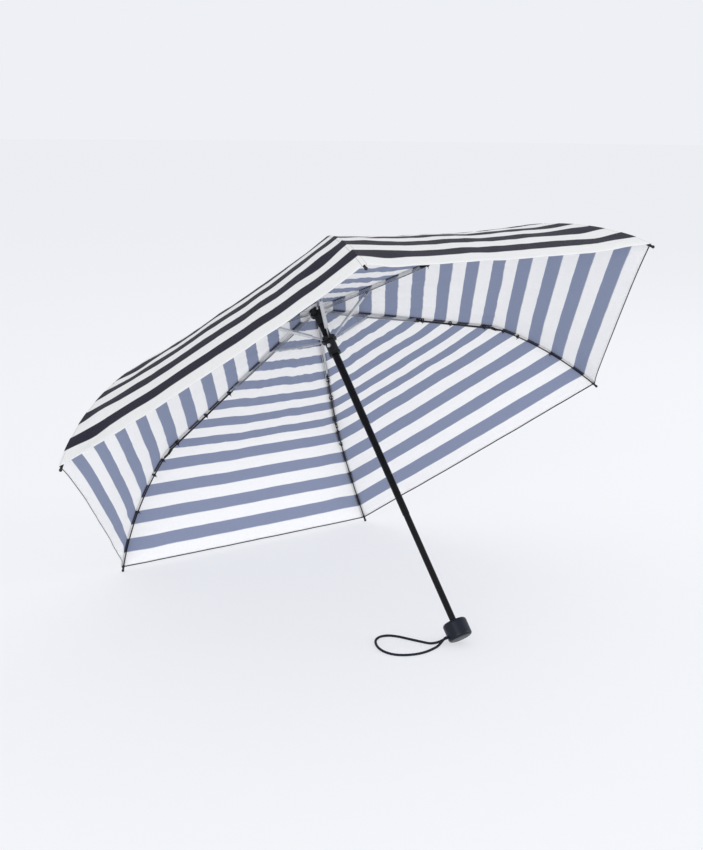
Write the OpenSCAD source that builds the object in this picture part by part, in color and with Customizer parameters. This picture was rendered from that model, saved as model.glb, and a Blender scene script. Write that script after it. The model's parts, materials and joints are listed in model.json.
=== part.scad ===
// Folding umbrella with a striped cloth canopy, three-part ribs and a telescopic shaft.
// It is open and lies on the floor, on two rib tips and the edge of its handle.
// Lengths are millimetres. Pieces are drawn about the shaft, with the crown pivots at
// height 0 and the handle below, and lie_down() then leans the whole umbrella over.

/* [Canopy] */
// Distance from the shaft to a rib tip
canopy_r = 480; // [460:5:500]
// Drop from the crown pivots to the rib tips
canopy_drop = 191; // [180:1:200]
// Thickness of the cloth shell
cloth_t = 0.6; // [0.5:0.1:1]
// Height of the cloth above the middle of a rib
cloth_gap = 4.5; // [4.3:0.1:6]
// How far the cloth hangs in between two ribs
cloth_sag = 9; // [0:1:14]
// How far the hem curves in between two ribs
hem_curve = 4; // [0:1:10]

/* [Ribs] */
// Distance from the shaft to the crown pivots
crown_pivot_r = 9; // [9:0.5:10]
// Length of a top rib between its pivots
top_len = 169; // [165:1:172]
// Slope of an open top rib below level, in degrees
top_slope = 10.6; // [9:0.1:12]
// Length of a middle rib between its pivots
mid_len = 156; // [150:1:160]
// Slope of an open middle rib below level, in degrees
mid_slope = 11.45; // [10:0.1:13]
// Turn of the bowed outer rib along its length, in degrees
tip_turn = 30; // [20:1:34]
// Width and height of the top rib's channel
channel_w = 3.2; // [3:0.1:3.2]
// Diameter of the middle rib's rod
mid_rod_d = 2.4; // [2:0.1:2.4]
// Diameter of the outer rib's wire
tip_wire_d = 1.9; // [1.5:0.1:2]

/* [Stretchers] */
// Distance along a top rib from the crown pivot to the stretcher's pivot
stretcher_x = 75.6; // [70:0.2:80]
// Drop from the middle of a top rib to the stretcher's pivot
stretcher_drop = 4.5; // [4.3:0.1:5]
// Width of a stretcher's channel
stretcher_w = 5.4; // [5:0.1:5.6]
// Length of the stretcher's lever beyond its pivot
lever_len = 8; // [7:0.5:9]

/* [Shaft] */
// Distance from the crown pivots to the top of the handle
shaft_len = 512.5; // [500:0.5:520]
// Outer diameter of the top tube
top_tube_d = 11.4; // [11.4]
// Outer diameter of the middle tube
middle_tube_d = 10.3; // [10.3]
// Outer diameter of the lower tube
lower_tube_d = 9.2; // [9.2]
// Distance from the crown pivots to the foot of the top tube
top_tube_foot = 195; // [190:1:200]
// Distance from the crown pivots to the foot of the middle tube
middle_tube_foot = 345; // [340:1:350]
// Length of tube held inside the next one at full stretch
tube_lap = 25; // [20:1:30]

/* [Runner] */
// Distance from the crown pivots down to the stretchers' inner pivots
runner_drop = 48; // [46:0.5:50]
// Length of the runner below its pivots
runner_len = 27; // [24:1:30]
// Diameter of the runner's body
runner_d = 16.5; // [16:0.5:17]
// Diameter of the runner's notched flange
flange_d = 23; // [22:0.5:24]
// Direction that the release button faces, in degrees around the shaft
button_turn = 210; // [208:1:212]

/* [Handle] */
// Diameter of the handle
handle_d = 34.6; // [32:0.2:36]
// Length of the handle
handle_h = 26; // [24:1:30]
// Rounding of the handle's edges
handle_round = 4; // [3:0.5:5]
// Diameter of the wrist strap's cord
strap_d = 3.5; // [3.5]
// Direction that the wrist strap leaves in, in degrees around the shaft
strap_turn = 152; // [140:1:160]

/* [Hidden] */
$fn = 48;
rib_count = 6;
RIBS = [0 : rib_count - 1];
RIB_PARTS = ["top_rib", "stretcher", "link_rod", "middle_rib", "spring_wire", "outer_rib", "tip_cap"];

silver = "#c4c6ca";
steel_black = "#1c1d20";
plastic_black = "#17181b";
navy = "#1d2238";
cloth_blue = "#8c95b5";

pin_r = 0.75;       // rivets of the rib hinges
pin_fit = 0.07;     // radial clearance of a running pin
link_pin_r = 0.65;  // pins at both ends of the link rods
ring_r = 0.6;       // the crown's wire ring, which the top ribs turn on
press_fit = 0.04;   // what a pressed-on bore is wider than its tube
hinge_rise = 2.2;   // height of the rib hinges above, or below, the ribs they join
ear_in = 0.9;       // fork ears: inner and outer face from the rib's middle plane
ear_out = 1.7;
tang_half = 0.7;    // half thickness of the tongue inside a fork
lobe_d = 3;         // diameter of the round ends of forks and tongues

// Rib geometry in the plane of one rib: x away from the shaft, y up.
function along(angle, p) = [p.x * cos(angle) - p.y * sin(angle), p.x * sin(angle) + p.y * cos(angle)];
crown_pivot = [crown_pivot_r, 0];
hinge_1 = crown_pivot + along(-top_slope, [top_len, hinge_rise]);
hinge_2 = hinge_1 + along(-mid_slope, [mid_len, -2 * hinge_rise]);
rib_tip = [canopy_r, -canopy_drop];
tip_chord = sqrt(pow(norm(rib_tip - hinge_2), 2) - pow(hinge_rise, 2));
tip_slope = -atan2((rib_tip - hinge_2).y, (rib_tip - hinge_2).x) + asin(hinge_rise / norm(rib_tip - hinge_2));
tip_bow_r = tip_chord / (2 * sin(tip_turn / 2));
stretcher_pin = crown_pivot + along(-top_slope, [stretcher_x, -stretcher_drop]);
runner_pin = [9.5, -runner_drop];
stretcher_len = norm(stretcher_pin - runner_pin);
stretcher_rise = atan2((stretcher_pin - runner_pin).y, (stretcher_pin - runner_pin).x);
lever_pin = stretcher_pin + along(stretcher_rise, [lever_len, 0]);
button_r = 3.0;     // the release button, in its boss on the runner
link_reach = 7.6;   // from the first hinge to the link rod's pin on the middle rib
link_pin = hinge_1 + along(-mid_slope, [link_reach, -hinge_rise]);
wire_r = 0.45;      // spring wire beside the middle rib's rod
wire_len = mid_len - link_reach - 17;

// Lean of the umbrella: the caps of two rib tips and the handle's edge are all on the floor.
cap_ball_r = 2.2;
cap_end = rib_tip + along(-tip_slope - tip_turn / 2, [2, 0]);
gore = 360 / rib_count / 2;
handle_bottom = -shaft_len - handle_h;
lean_across = cap_end.x * cos(gore) - (handle_d / 2 - handle_round);
lean_along = cap_end.y - (handle_bottom + handle_round);
lean = acos((cap_ball_r - handle_round) / norm([lean_across, lean_along])) - atan2(lean_across, lean_along);
crown_height = cap_end.x * cos(gore) * sin(lean) - cap_end.y * cos(lean) + cap_ball_r;
bow_centre = hinge_2 + along(-tip_slope, [tip_chord / 2, hinge_rise - tip_bow_r * cos(tip_turn / 2)]);
back_y = -cap_end.x * cos(gore) * cos(lean) + cap_end.y * sin(lean) - cap_ball_r;
front_y = bow_centre.x * cos(gore) * cos(lean) + bow_centre.y * sin(lean)
    + (tip_bow_r + cloth_gap) * norm([cos(gore) * cos(lean), sin(lean)]);
crown_y = -(back_y + front_y) / 2;

// The wrist strap's route on the floor, from the handle round and back to it.
strap_route = [
    [-26, -211, 4.5], [-34, -203, 1.75], [-41, -190, 1.75], [-48, -174, 1.75], [-55, -158, 1.75],
    [-64, -147, 1.75], [-76, -144, 1.75], [-88, -150, 1.75], [-97, -162, 1.75], [-103, -177, 1.75],
    [-104, -192, 1.75], [-99, -206, 1.75], [-88, -216, 1.75], [-73, -222, 1.75], [-57, -223, 1.75],
    [-42, -220, 1.75], [-31, -217, 2.5]];
strap_hole_z = handle_bottom + 8;
strap_gap = 3.8;    // between the two ends of the cord in the handle
strap_depth = 9;    // length of cord inside the handle

module lie_down() translate([0, crown_y, crown_height]) rotate([-lean, 0, 0]) children();
module at_rib(i) lie_down() rotate([0, 0, i * 360 / rib_count]) children();
module from_pin(p, angle) translate([p.x, 0, p.y]) rotate([0, -angle, 0]) children();

// A flat plate in the rib's plane, between two distances to its left.
module plate(y0, y1) translate([0, y1, 0]) rotate([90, 0, 0]) linear_extrude(y1 - y0) children();
module pin(p, r, y0, y1) translate([p.x, y1, p.y]) rotate([90, 0, 0]) cylinder(r = r, h = y1 - y0);
// A bar with round ends; its sides stand in a little, so that they cross the rounds cleanly.
module bar_2d(p, q, w) {
    side = w - 0.1;
    translate(p) circle(d = w);
    translate(q) circle(d = w);
    translate(p) rotate(atan2(q.y - p.y, q.x - p.x)) translate([0, -side / 2]) square([norm(q - p), side]);
}
module block(x0, x1, half_y, z0, z1) translate([x0, -half_y, z0]) cube([x1 - x0, 2 * half_y, z1 - z0]);
module fork_ears() {
    for (side = [-1, 1]) plate(side > 0 ? ear_in : -ear_out, side > 0 ? ear_out : -ear_in) children();
}
module rounded_disc_2d(r, h, f) {
    translate([0, f]) square([r, h - 2 * f]);
    square([r - f, h]);
    for (z = [f, h - f]) translate([r - f, z]) circle(r = f);
}

// ---- shaft and handle ----
module handle_grip() color(navy) lie_down() difference() {
    translate([0, 0, handle_bottom]) rotate_extrude() intersection() {
        rounded_disc_2d(handle_d / 2, handle_h, handle_round);
        square([handle_d, handle_h]);
    }
    translate([0, 0, -shaft_len - 20]) cylinder(d = lower_tube_d + press_fit, h = 21);
    translate([0, 0, handle_bottom - 1]) cylinder(r = 12, h = 2.2);
    rotate([0, 0, strap_turn]) translate([handle_d / 2 - strap_depth, 0, strap_hole_z]) {
        for (side = [-1, 1]) translate([0, side * strap_gap / 2, 0]) rotate([0, 90, 0])
            cylinder(d = strap_d + 0.3, h = strap_depth + 1);
        translate([0, -strap_gap / 2, -strap_d / 2 - 0.15])
            cube([strap_depth + 1, strap_gap, strap_d + 0.3]);
        translate([3, 0, -7]) cylinder(d = 2, h = 16);
    }
}
module handle_end_cap() color(navy) lie_down() translate([0, 0, handle_bottom]) difference() {
    cylinder(r = 11.9, h = 1.15);
    translate([0, 0, -0.5]) rotate_extrude() translate([9, 0]) circle(r = 0.8);
}
module lower_tube() color(steel_black) lie_down()
    tube(lower_tube_d, 0.6, -shaft_len - 19.9, -middle_tube_foot + tube_lap);
module middle_tube() color(steel_black) lie_down()
    tube(middle_tube_d, 0.5, -middle_tube_foot, -top_tube_foot + tube_lap);
module top_tube() color(steel_black) lie_down() tube(top_tube_d, 0.5, -top_tube_foot, 5.8);
module tube(d, wall, z0, z1) translate([0, 0, z0]) difference() {
    cylinder(d = d, h = z1 - z0);
    translate([0, 0, -1]) cylinder(d = d - 2 * wall, h = z1 - z0 + 2);
}
module strap_anchor() color(silver) lie_down() rotate([0, 0, strap_turn])
    translate([handle_d / 2 - strap_depth + 3, 0, strap_hole_z - 6.75]) cylinder(d = 1.9, h = 15.6);

// ---- wrist strap ----
// Both ends of the cord leave the handle side by side through one slot.
function unlean(p) = [p.x, p.y * cos(lean) + p.z * sin(lean) + crown_y,
                      -p.y * sin(lean) + p.z * cos(lean) + crown_height];
function strap_end(reach, side) = unlean([
    (handle_d / 2 + reach) * cos(strap_turn) - side * strap_gap / 2 * sin(strap_turn),
    (handle_d / 2 + reach) * sin(strap_turn) + side * strap_gap / 2 * cos(strap_turn), strap_hole_z]);
strap_points = concat([strap_end(-4.8, -1), strap_end(0, -1), strap_end(4, -1)], strap_route,
                      [strap_end(4, 1), strap_end(0, 1), strap_end(-4.8, 1)]);
strap_sides = 8;
strap_steps = 2;
function unit(v) = v / norm(v);
function spline(a, b, c, d, t) = 0.5 * (2 * b + (c - a) * t + (2 * a - 5 * b + 4 * c - d) * t * t
    + (3 * b - a - 3 * c + d) * t * t * t);
function route_point(p, i) = p[min(max(i, 0), len(p) - 1)];
function smooth_route(p) = concat([for (i = [0 : len(p) - 2], s = [0 : strap_steps - 1])
    spline(route_point(p, i - 1), p[i], p[i + 1], route_point(p, i + 2), s / strap_steps)], [p[len(p) - 1]]);
function ring(p, ahead, r) = let (side = unit(cross(ahead, [0, 0, 1])), up = cross(side, ahead))
    [for (k = [0 : strap_sides - 1]) let (turn = k * 360 / strap_sides)
        p + r * (cos(turn) * side + sin(turn) * up)];
module sweep_cord(p, r) {
    n = len(p);
    rings = [for (i = [0 : n - 1]) ring(p[i], unit(route_point(p, i + 1) - route_point(p, i - 1)), r)];
    points = [for (one = rings) each one];
    s = strap_sides;
    sides = [for (i = [0 : n - 2], k = [0 : s - 1])
        [i * s + k, i * s + (k + 1) % s, (i + 1) * s + (k + 1) % s, (i + 1) * s + k]];
    first = [for (k = [s - 1 : -1 : 0]) k];
    last = [for (k = [0 : s - 1]) (n - 1) * s + k];
    polyhedron(points, concat([first], sides, [last]), convexity = 6);
}
module wrist_strap() color(navy) sweep_cord(smooth_route(strap_points), strap_d / 2);

// ---- crown ----
module crown() color(plastic_black) lie_down() difference() {
    union() {
        translate([0, 0, -4.6]) cylinder(r = 11, h = 9.2);
        cylinder(r = 7, h = 5.8);
        translate([0, 0, -22]) cylinder(r = 6.8, h = 18);
    }
    translate([0, 0, -23]) cylinder(d = top_tube_d + press_fit, h = 30);
    for (i = RIBS) rotate([0, 0, i * 360 / rib_count]) translate([7, -1.1, -5]) cube([5, 2.2, 12]);
    rotate_extrude() translate([crown_pivot_r, 0]) circle(r = ring_r + press_fit / 2);
}
module crown_wire() color(silver) lie_down() rotate_extrude()
    translate([crown_pivot_r, 0]) circle(r = ring_r);
module top_cap() color(plastic_black) lie_down() {
    translate([0, 0, 5.9]) cylinder(r = 5.8, h = 4);
    translate([0, 0, -8]) cylinder(r = 5.15, h = 14);
    translate([0, 0, 9]) rotate_extrude() intersection() {
        circle(r = 9.5);
        square([9.5, 8]);
    }
}

// ---- canopy ----
// A point over a rib: u runs from 0 at the crown to 1 at the tip, and lift is the height above the rib.
cloth_hub_r = 7.2;
hub_share = 0.04;
top_share = 0.35;
mid_share = 0.65;
tip_share = 0.985;
function share(u, a, b) = (u - a) / (b - a);
function bow_point(t, lift) = let (turn = tip_slope + (t - 0.5) * tip_turn)
    bow_centre + (tip_bow_r + lift) * [sin(turn), cos(turn)];
function rib_line(u, lift) =
    u < hub_share ? [cloth_hub_r, 6.9 + lift - cloth_gap] + share(u, 0, hub_share)
        * (crown_pivot + along(-top_slope, [8, lift + 1.6]) - [cloth_hub_r, 6.9 + lift - cloth_gap])
    : u < top_share ? crown_pivot + along(-top_slope, [8 + share(u, hub_share, top_share) * (top_len - 8),
        lift + 1.6 * (1 - share(u, hub_share, top_share))])
    : u < mid_share ? hinge_1
        + along(-mid_slope, [share(u, top_share, mid_share) * mid_len, lift - hinge_rise])
    : bow_point(tip_share * share(u, mid_share, 1), lift);
function cloth_point(u, v, lift) = let (
        across = 1 - pow(abs(v), 3.5),
        at = rib_line(u - hem_curve / 500 * u * u * (1 - pow(v, 4)), lift),
        slope = u < mid_share ? top_slope : tip_slope,
        sag = cloth_sag * pow(u, 1.3) * across)
    [(at.x - sag * sin(slope)) * cos(gore), at.x * sin(gore) * v, at.y - sag * cos(slope)];
cloth_rows = [0, 0.04, 0.12, 0.23, 0.35, 0.45, 0.55, 0.65, 0.7, 0.76, 0.82, 0.88, 0.94, 1];
cloth_cols = 6;     // columns in the panel between two ribs
rows = len(cloth_rows);
cols = cloth_cols * rib_count;
function at(side, row, col) = (side * rows + row) * cols + col % cols;
module canopy() color(cloth_blue) lie_down() {
    half = cloth_t / 2;
    points = [for (lift = [cloth_gap - half, cloth_gap + half], u = cloth_rows, c = [0 : cols - 1]) let (
            turn = (floor(c / cloth_cols) + 0.5) * 2 * gore,
            p = cloth_point(u, 2 * (c % cloth_cols) / cloth_cols - 1, lift))
        [p.x * cos(turn) - p.y * sin(turn), p.x * sin(turn) + p.y * cos(turn), p.z]];
    inner = [for (r = [0 : rows - 2], c = [0 : cols - 1]) each
        [[at(0, r, c), at(0, r, c + 1), at(0, r + 1, c)],
         [at(0, r, c + 1), at(0, r + 1, c + 1), at(0, r + 1, c)]]];
    outer = [for (r = [0 : rows - 2], c = [0 : cols - 1]) each
        [[at(1, r, c), at(1, r + 1, c), at(1, r, c + 1)],
         [at(1, r, c + 1), at(1, r + 1, c), at(1, r + 1, c + 1)]]];
    hub = [for (c = [0 : cols - 1]) each
        [[at(0, 0, c), at(1, 0, c), at(0, 0, c + 1)], [at(0, 0, c + 1), at(1, 0, c), at(1, 0, c + 1)]]];
    last = rows - 1;
    hem = [for (c = [0 : cols - 1]) each
        [[at(0, last, c), at(0, last, c + 1), at(1, last, c)],
         [at(0, last, c + 1), at(1, last, c + 1), at(1, last, c)]]];
    polyhedron(points, concat(inner, outer, hub, hem), convexity = 6);
}

// ---- runner ----
// From the shaft's axis outward, through the middle of the release button.
module toward_button() rotate([0, 0, button_turn]) translate([0, 0, -runner_drop - 13])
    rotate([0, 90, 0]) children();
module runner() color(plastic_black) lie_down() difference() {
    slot_w = 2.2;           // one slot in the flange for each stretcher's tongue
    slot_floor = 7;
    boss_reach = 9.2;       // how far the button's boss stands out from the shaft's axis
    foot = -runner_drop - runner_len;
    union() {
        translate([0, 0, foot]) cylinder(d = runner_d, h = runner_len);
        translate([0, 0, -runner_drop - 3.5]) cylinder(d = flange_d, h = 6);
        toward_button() cylinder(r = button_r + 0.65, h = boss_reach);
    }
    translate([0, 0, foot - 1]) cylinder(d = top_tube_d + 0.2, h = runner_len + 6);
    for (i = RIBS) rotate([0, 0, i * 360 / rib_count])
        translate([slot_floor, -slot_w / 2, -runner_drop - 4]) cube([6, slot_w, 8]);
    toward_button() cylinder(r = button_r + 0.2, h = boss_reach + 3);
    translate([0, 0, foot - 1]) difference() {
        cylinder(r = 12, h = 6);
        translate([0, 0, -1]) cylinder(r = 7.4, h = 8);
    }
}
module runner_collar() color(plastic_black) lie_down()
    translate([0, 0, -runner_drop - runner_len]) difference() {
        translate([0, 0, 0.3]) cylinder(r = 9.2, h = 4.5);
        translate([0, 0, -1]) cylinder(r = 7.42, h = 7);
    }
module release_button() color(silver) lie_down() toward_button() {
    button_h = 2.6;
    translate([0, 0, 7.8]) difference() {
        cylinder(r = button_r, h = button_h);
        translate([0, 0, button_h - 0.5]) cylinder(r = 2.2, h = 1);     // the dish for a thumb
    }
}

// ---- one rib ----
module top_rib(i) color(silver) at_rib(i) {
    from_pin(crown_pivot, -top_slope) difference() {
        union() {
            plate(-0.8, 0.8) bar_2d([0, 0], [8, 0], lobe_d);
            difference() {
                block(6, top_len - 6, channel_w / 2, -1.6, 1.6);
                block(9, top_len, 1.2, -2, 1.1);
            }
            fork_ears() bar_2d([top_len - 9, 0], [top_len, hinge_rise], lobe_d);
            pin([top_len, hinge_rise], pin_r, -2, 2);
            for (side = [-1, 1]) plate(side > 0 ? 1 : -ear_out, side > 0 ? ear_out : -1)
                bar_2d([stretcher_x, 0], [stretcher_x, -stretcher_drop], lobe_d);
            pin([stretcher_x, -stretcher_drop], pin_r, -3.1, 2.92);
            pin([stretcher_x, -stretcher_drop], 1.4, -3.3, -stretcher_w / 2 - 0.05);
        }
        pin([0, 0], ring_r + pin_fit, -1, 1);
    }
}
module stretcher(i) color(silver) at_rib(i) from_pin(runner_pin, stretcher_rise) {
    ear = 0.7;
    web = stretcher_w / 2 - ear;
    tongue_w = 2.8;
    channel_start = 19.5;   // the channel stays clear of the runner's flange and button
    difference() {
        union() {
            plate(-tang_half, tang_half) bar_2d([0, 0], [channel_start + 2.5, 0], tongue_w);
            difference() {
                block(channel_start, stretcher_len - 5, stretcher_w / 2, -1.5, 1.5);
                block(channel_start + 3, stretcher_len, web, -1, 2);
            }
            for (side = [-1, 1]) plate(side > 0 ? web : -web - ear, side > 0 ? web + ear : -web)
                bar_2d([stretcher_len - 7, 0], [stretcher_len + (side > 0 ? lever_len : 0), 0], tongue_w);
            pin([stretcher_len + lever_len, 0], link_pin_r, web, 3.95);
            pin([stretcher_len + lever_len, 0], 1.1, 3.78, 4.05);
        }
        pin([0, 0], 0.8, -1, 1);
        block(stretcher_len - 5.05, stretcher_len + lever_len + 3, web, -2, 2);
        pin([stretcher_len, 0], pin_r + pin_fit, -3, 3);
    }
}
module link_rod(i) color(silver) at_rib(i) difference() {
    union() {
        plate(3.02, 3.7) bar_2d(lever_pin, link_pin, 2.2);
        pin(link_pin, 1.2, 3.6, 3.95);
    }
    pin(lever_pin, link_pin_r + pin_fit, 2, 5);
}
module middle_rib(i) color(steel_black) at_rib(i) from_pin(hinge_1, -mid_slope) difference() {
    union() {
        plate(-tang_half, tang_half) {
            bar_2d([0, 0], [link_reach, -hinge_rise], lobe_d);
            bar_2d([link_reach, -hinge_rise], [link_reach + 6, -hinge_rise], lobe_d);
        }
        translate([link_reach + 1, 0, -hinge_rise]) rotate([0, 90, 0])
            cylinder(d = mid_rod_d, h = mid_len - link_reach - 6);
        pin([link_reach, -hinge_rise], link_pin_r, 0, 2.92);
        block_at(mid_len - 9, mid_len - 5);
        fork_ears() bar_2d([mid_len - 7.5, -hinge_rise], [mid_len, -2 * hinge_rise], lobe_d - 0.2);
        pin([mid_len, -2 * hinge_rise], pin_r, -2, 2);
    }
    pin([0, 0], pin_r + pin_fit, -1, 1);
}
module block_at(x0, x1) translate([x0, -ear_out, -hinge_rise - 1.5]) cube([x1 - x0, 2 * ear_out, 3]);
module spring_wire(i) color(silver) at_rib(i) from_pin(hinge_1, -mid_slope)
    translate([link_reach + 7, 2.3, -hinge_rise]) {
        rotate([0, 90, 0]) cylinder(r = wire_r, h = wire_len);
        for (x = [wire_r, wire_len - wire_r])
            translate([x, 0, 0]) rotate([90, 0, 0]) cylinder(r = wire_r - 0.01, h = 1.08);
    }
module outer_rib(i) color(steel_black) at_rib(i) from_pin(hinge_2, -tip_slope) difference() {
    union() {
        plate(-tang_half, tang_half) bar_2d([0, 0], [7.5, hinge_rise + 1.9], lobe_d);
        translate([tip_chord / 2, 0, hinge_rise - tip_bow_r * cos(tip_turn / 2)]) rotate([90, 0, 0])
            rotate([0, 0, 90 - tip_turn / 2]) rotate_extrude(angle = tip_turn * 0.97)
                translate([tip_bow_r, 0]) circle(d = tip_wire_d);
    }
    pin([0, 0], pin_r + pin_fit, -1, 1);
}
module tip_cap(i) color(plastic_black) at_rib(i) from_pin(rib_tip, -tip_slope - tip_turn / 2) difference() {
    union() {
        translate([-7, 0, 0]) rotate([0, 90, 0]) cylinder(r = 1.7, h = 9);
        translate([2, 0, 0]) sphere(r = cap_ball_r);
    }
    translate([-8, 0, 0]) rotate([0, 90, 0]) cylinder(d = tip_wire_d + 0.6, h = 8.4);
}

handle_grip();
handle_end_cap();
lower_tube();
strap_anchor();
wrist_strap();
middle_tube();
top_tube();
crown();
crown_wire();
top_cap();
canopy();
runner();
runner_collar();
release_button();
for (i = RIBS) {
    top_rib(i);
    stretcher(i);
    link_rod(i);
    middle_rib(i);
    spring_wire(i);
    outer_rib(i);
    tip_cap(i);
}
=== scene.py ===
import json
from bisect import bisect_right
from math import asin, atan2, copysign, cos, exp, pi, radians, sin, sqrt

import bmesh
import bpy
from bpy.props import FloatProperty, FloatVectorProperty, IntProperty, PointerProperty
from mathutils import Matrix, Vector, noise


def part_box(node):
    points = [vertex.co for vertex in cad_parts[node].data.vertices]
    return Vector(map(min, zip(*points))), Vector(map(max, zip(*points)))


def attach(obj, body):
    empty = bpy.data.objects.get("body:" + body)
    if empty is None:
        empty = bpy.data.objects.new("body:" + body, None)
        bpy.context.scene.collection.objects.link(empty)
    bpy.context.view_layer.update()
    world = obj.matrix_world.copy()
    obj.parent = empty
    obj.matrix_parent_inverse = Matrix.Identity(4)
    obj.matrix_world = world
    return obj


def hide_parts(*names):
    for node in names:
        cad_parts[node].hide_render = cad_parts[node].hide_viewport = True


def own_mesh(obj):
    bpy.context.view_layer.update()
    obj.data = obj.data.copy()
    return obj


bl_info = {
    "name": "Folding umbrella",
    "version": (1, 0, 0),
    "blender": (4, 5, 0),
    "location": "View3D > Sidebar > Umbrella",
    "description": "Adds the cloth, the wrist strap and the finishes of a folding umbrella to its frame",
    "category": "Object",
}

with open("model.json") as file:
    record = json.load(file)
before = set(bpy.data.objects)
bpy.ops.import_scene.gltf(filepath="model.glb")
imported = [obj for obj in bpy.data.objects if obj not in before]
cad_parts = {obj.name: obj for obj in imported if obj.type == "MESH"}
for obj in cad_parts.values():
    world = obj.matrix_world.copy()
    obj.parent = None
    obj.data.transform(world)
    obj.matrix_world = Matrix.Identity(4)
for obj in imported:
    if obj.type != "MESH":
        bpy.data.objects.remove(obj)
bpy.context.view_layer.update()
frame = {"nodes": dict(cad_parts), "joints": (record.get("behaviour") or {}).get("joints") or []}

# ---- measures taken from the frame ----
JOINTS = {joint["name"]: joint for joint in frame["joints"]}
RIBS = range(1, 7)
SIDES = {"left": 1, "right": -1}
GORE = pi / len(RIBS)       # half the angle between two ribs


def joint_place(name):
    return Vector(JOINTS[name]["pos_m"])


UP = -Vector(JOINTS["runner_slide"]["axis"])
CROWN = sum((joint_place(f"top_rib_{n}_hinge") for n in RIBS), Vector()) / len(RIBS)
FIRST_OUT = (joint_place("top_rib_1_hinge") - CROWN).normalized()
FIRST_SIDE = UP.cross(FIRST_OUT)


def turn_of(rib):
    return 2 * GORE * (rib - 1)


def outward(turn):
    return FIRST_OUT * cos(turn) + FIRST_SIDE * sin(turn)


def place(turn, x, y, z):
    """A point x out from the shaft, y to the left of that and z above the crown pivots."""
    out = outward(turn)
    return CROWN + out * x + UP.cross(out) * y + UP * z


def in_rib_plane(name):
    step = joint_place(name) - CROWN
    return Vector((step.dot(FIRST_OUT), step.dot(UP)))


def slope_to(p, q, rise):
    """The slope below level of a rib whose far hinge stands rise above its middle line."""
    run = q - p
    return asin(rise / run.length) - atan2(run.y, run.x)


def length_to(p, q, rise):
    return sqrt((q - p).length_squared - rise * rise)


def along(slope, forward, above):
    """A step forward and square to a rib that slopes down."""
    return Vector((forward * cos(slope) + above * sin(slope), above * cos(slope) - forward * sin(slope)))


# The ribs in their own plane: x away from the shaft, y up.
HINGE_RISE = 0.0022         # hinges stand this far above, or below, the ribs they join
PIVOT = in_rib_plane("top_rib_1_hinge")
HINGE_1 = in_rib_plane("middle_rib_1_hinge")
HINGE_2 = in_rib_plane("outer_rib_1_hinge")
TIP = Vector((0.480, -0.191))
TIP_TURN = radians(30)      # turn of the bowed outer rib
TOP_SLOPE = slope_to(PIVOT, HINGE_1, HINGE_RISE)
MID_SLOPE = slope_to(HINGE_1, HINGE_2, -2 * HINGE_RISE)
TIP_SLOPE = slope_to(HINGE_2, TIP, HINGE_RISE)
TOP_LEN = length_to(PIVOT, HINGE_1, HINGE_RISE)
MID_LEN = length_to(HINGE_1, HINGE_2, 2 * HINGE_RISE)
TIP_CHORD = length_to(HINGE_2, TIP, HINGE_RISE)
BOW_R = TIP_CHORD / (2 * sin(TIP_TURN / 2))
BOW_CENTRE = HINGE_2 + along(TIP_SLOPE, TIP_CHORD / 2, HINGE_RISE - BOW_R * cos(TIP_TURN / 2))

# The cloth along a rib: its share from the hub, at 0, to the tip, at 1.
HUB_SHARE = 0.04
TOP_SHARE = 0.35
MID_SHARE = 0.65
TIP_SHARE = 0.985
HUB_R = 0.0072              # radius of the hole in the middle of the cloth
HUB_RISE = 0.0024           # the cloth's rise there, above its gap over the ribs
HUB_EXTRA = 0.0016          # its rise where it comes to the ribs, which fades towards the first hinge
HUB_RUN = 0.008             # distance of that place from the ribs' pivots
CLOTH_GAP = 0.0045          # height of the cloth above the middle of a rib
SQUARE_TO_HEM = 0.89        # distance square to the hem, as a share of that along a rib
SEGMENTS = {"top": (0.0, TOP_SHARE), "middle": (TOP_SHARE, MID_SHARE), "outer": (MID_SHARE, 1.0)}
SEGMENT_SLOPE = {"top": TOP_SLOPE, "middle": MID_SLOPE, "outer": TIP_SLOPE}


# ---- sizes and colours that a user would change ----
def length_property(label, text, default):
    return FloatProperty(name=label, description=text, default=default, unit="LENGTH", precision=5)


def colour_property(label, text, default):
    return FloatVectorProperty(name=label, description=text, default=default, subtype="COLOR", size=3,
                               min=0.0, max=1.0)


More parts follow.
